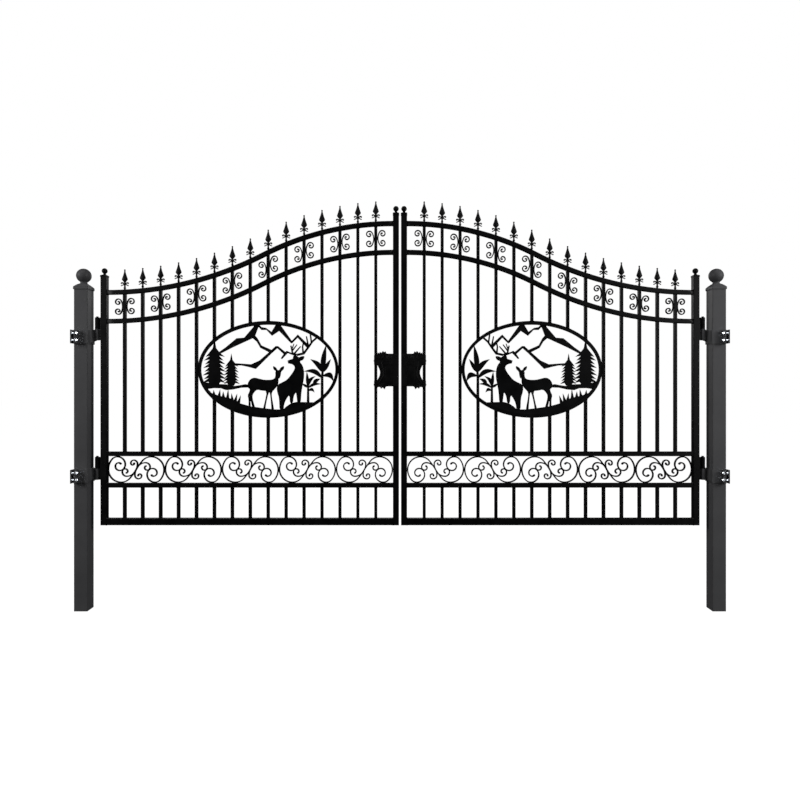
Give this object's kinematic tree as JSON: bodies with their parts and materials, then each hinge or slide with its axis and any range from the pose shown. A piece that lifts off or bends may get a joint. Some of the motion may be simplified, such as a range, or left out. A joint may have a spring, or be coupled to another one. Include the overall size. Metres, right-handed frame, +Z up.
{
  "type": "wrought iron driveway gate",
  "caption": "Arched driveway gate with spear-topped pickets, scroll bands and oval wildlife medallions; its leaves swing on clamped hinges between square ball-capped posts.",
  "frame": {"origin": "centre of the left post's foot face", "axes": "+X runs along the closed gate from the left post to the right post, +Y points to the back, +Z points up"},
  "size_m": [4.34, 0.17, 2.7295],
  "materials": {
    "powder_coat": "satin black powder coat on steel tube",
    "cast_black": "satin black powder coat on cast iron",
    "zinc_plate": "bright zinc plate"
  },
  "bodies": {
    "posts": {"left_post": "powder_coat", "left_post_cap": "powder_coat", "left_hinge_brackets": "powder_coat", "left_clamp_plates": "powder_coat", "left_clamp_bolts": "zinc_plate", "right_post": "powder_coat", "right_post_cap": "powder_coat", "right_hinge_brackets": "powder_coat", "right_clamp_plates": "powder_coat", "right_clamp_bolts": "zinc_plate"},
    "left_leaf": {"left_hinge_stile": "powder_coat", "left_meeting_stile": "powder_coat", "left_stile_caps": "powder_coat", "left_bottom_rail": "powder_coat", "left_band_lower_rail": "powder_coat", "left_band_upper_rail": "powder_coat", "left_arch_lower_rail": "powder_coat", "left_arch_top_rail": "powder_coat", "left_pickets": "powder_coat", "left_finials": "cast_black", "left_c_scrolls": "powder_coat", "left_band_scrolls": "powder_coat", "left_medallion": "powder_coat", "left_lock_plate": "cast_black", "left_lock_bolts": "powder_coat", "left_leaf_hinges": "powder_coat"},
    "right_leaf": {"right_hinge_stile": "powder_coat", "right_meeting_stile": "powder_coat", "right_stile_caps": "powder_coat", "right_bottom_rail": "powder_coat", "right_band_lower_rail": "powder_coat", "right_band_upper_rail": "powder_coat", "right_arch_lower_rail": "powder_coat", "right_arch_top_rail": "powder_coat", "right_pickets": "powder_coat", "right_finials": "cast_black", "right_c_scrolls": "powder_coat", "right_band_scrolls": "powder_coat", "right_medallion": "powder_coat", "right_lock_plate": "cast_black", "right_lock_bolts": "powder_coat", "right_leaf_hinges": "powder_coat"}
  },
  "joints": [
    {"name": "left_leaf_hinge", "type": "hinge", "parent": "posts", "child": "left_leaf", "pos_m": [0.09, 0, 0.942], "axis": [0, 0, 1], "range_deg": [-90, 90]},
    {"name": "right_leaf_hinge", "type": "hinge", "parent": "posts", "child": "right_leaf", "pos_m": [4.142, 0, 0.942], "axis": [0, 0, -1], "range_deg": [-90, 90]}
  ]
}
